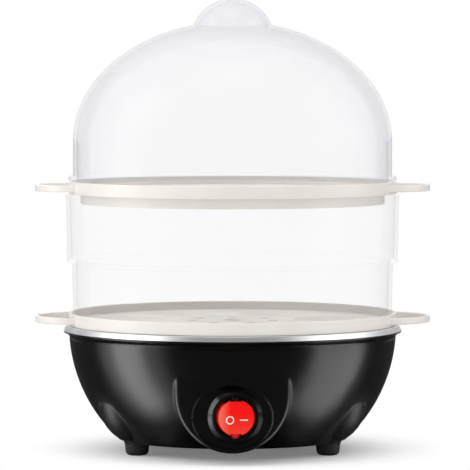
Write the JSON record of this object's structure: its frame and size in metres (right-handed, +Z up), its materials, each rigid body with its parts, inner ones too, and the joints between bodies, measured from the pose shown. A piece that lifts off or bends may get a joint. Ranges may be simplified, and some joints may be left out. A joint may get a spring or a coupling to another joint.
{
  "type": "electric egg cooker",
  "caption": "Electric egg cooker: round heating base with rocker switch, lift-off egg trays, clear middle ring and clear domed lid.",
  "frame": {"origin": "centre of the round stack, on the surface the feet stand on", "axes": "+Z up along the stack, -Y towards the switch, +X to the right seen from the switch side"},
  "size_m": [0.2104, 0.18, 0.2402],
  "materials": {
    "black_housing": "satin",
    "rubber_black": "satin",
    "stainless_pan": "polished",
    "silicone_grey": "matte",
    "zinc_steel": "satin",
    "aluminium": "satin",
    "phenolic_black": "matte",
    "ceramic_white": "matte",
    "brass": "satin",
    "lamp_glass": "clear",
    "rocker_red": "gloss",
    "nylon_white": "matte",
    "tray_white": "satin",
    "clear_plastic": "clear"
  },
  "bodies": {
    "base": {"base_housing": "black_housing", "bottom_cover": "black_housing", "cover_screws": "zinc_steel", "foot_front_left": "rubber_black", "foot_front_right": "rubber_black", "foot_rear_left": "rubber_black", "foot_rear_right": "rubber_black", "heating_pan": "stainless_pan", "pan_gasket": "silicone_grey", "pan_studs": "zinc_steel", "pan_nuts": "zinc_steel", "heat_spreader": "aluminium", "heating_element": "zinc_steel", "thermostat_cup": "aluminium", "thermostat_body": "phenolic_black", "thermostat_bracket": "zinc_steel", "bracket_screws": "zinc_steel", "thermal_fuse": "aluminium", "fuse_clip": "zinc_steel", "terminal_block": "ceramic_white", "cord_bush": "black_housing", "switch_frame": "black_housing", "switch_terminals": "brass", "neon_lamp": "lamp_glass"},
    "rocker": {"rocker": "rocker_red", "rocker_plunger": "nylon_white", "plunger_spring": "zinc_steel"},
    "contact_bridge": {"contact_bridge": "brass"},
    "lower_tray": {"lower_egg_tray": "tray_white"},
    "middle_ring": {"middle_ring": "clear_plastic"},
    "upper_tray": {"upper_egg_tray": "tray_white"},
    "lid": {"lid": "clear_plastic"}
  },
  "joints": [
    {"name": "rocker_hinge", "type": "hinge", "parent": "base", "child": "rocker", "pos_m": [0.0014, -0.08, 0.0249], "axis": [0, 0, 1], "range_deg": [-18, 0]},
    {"name": "contact_hinge", "type": "hinge", "parent": "base", "child": "contact_bridge", "pos_m": [0.0014, -0.0671, 0.0249], "axis": [0, 0, 1], "range_deg": [0, 16]},
    {"name": "lower_tray_lift", "type": "slide", "parent": "base", "child": "lower_tray", "axis": [0, 0, 1], "range_m": [0, 0.06]},
    {"name": "ring_lift", "type": "slide", "parent": "lower_tray", "child": "middle_ring", "axis": [0, 0, 1], "range_m": [0, 0.06]},
    {"name": "upper_tray_lift", "type": "slide", "parent": "middle_ring", "child": "upper_tray", "axis": [0, 0, 1], "range_m": [0, 0.06]},
    {"name": "lid_lift", "type": "slide", "parent": "upper_tray", "child": "lid", "axis": [0, 0, 1], "range_m": [0, 0.09]}
  ],
  "couplings": [
    {"joint": "contact_hinge", "follows": "rocker_hinge", "ratio": -0.8888}
  ]
}
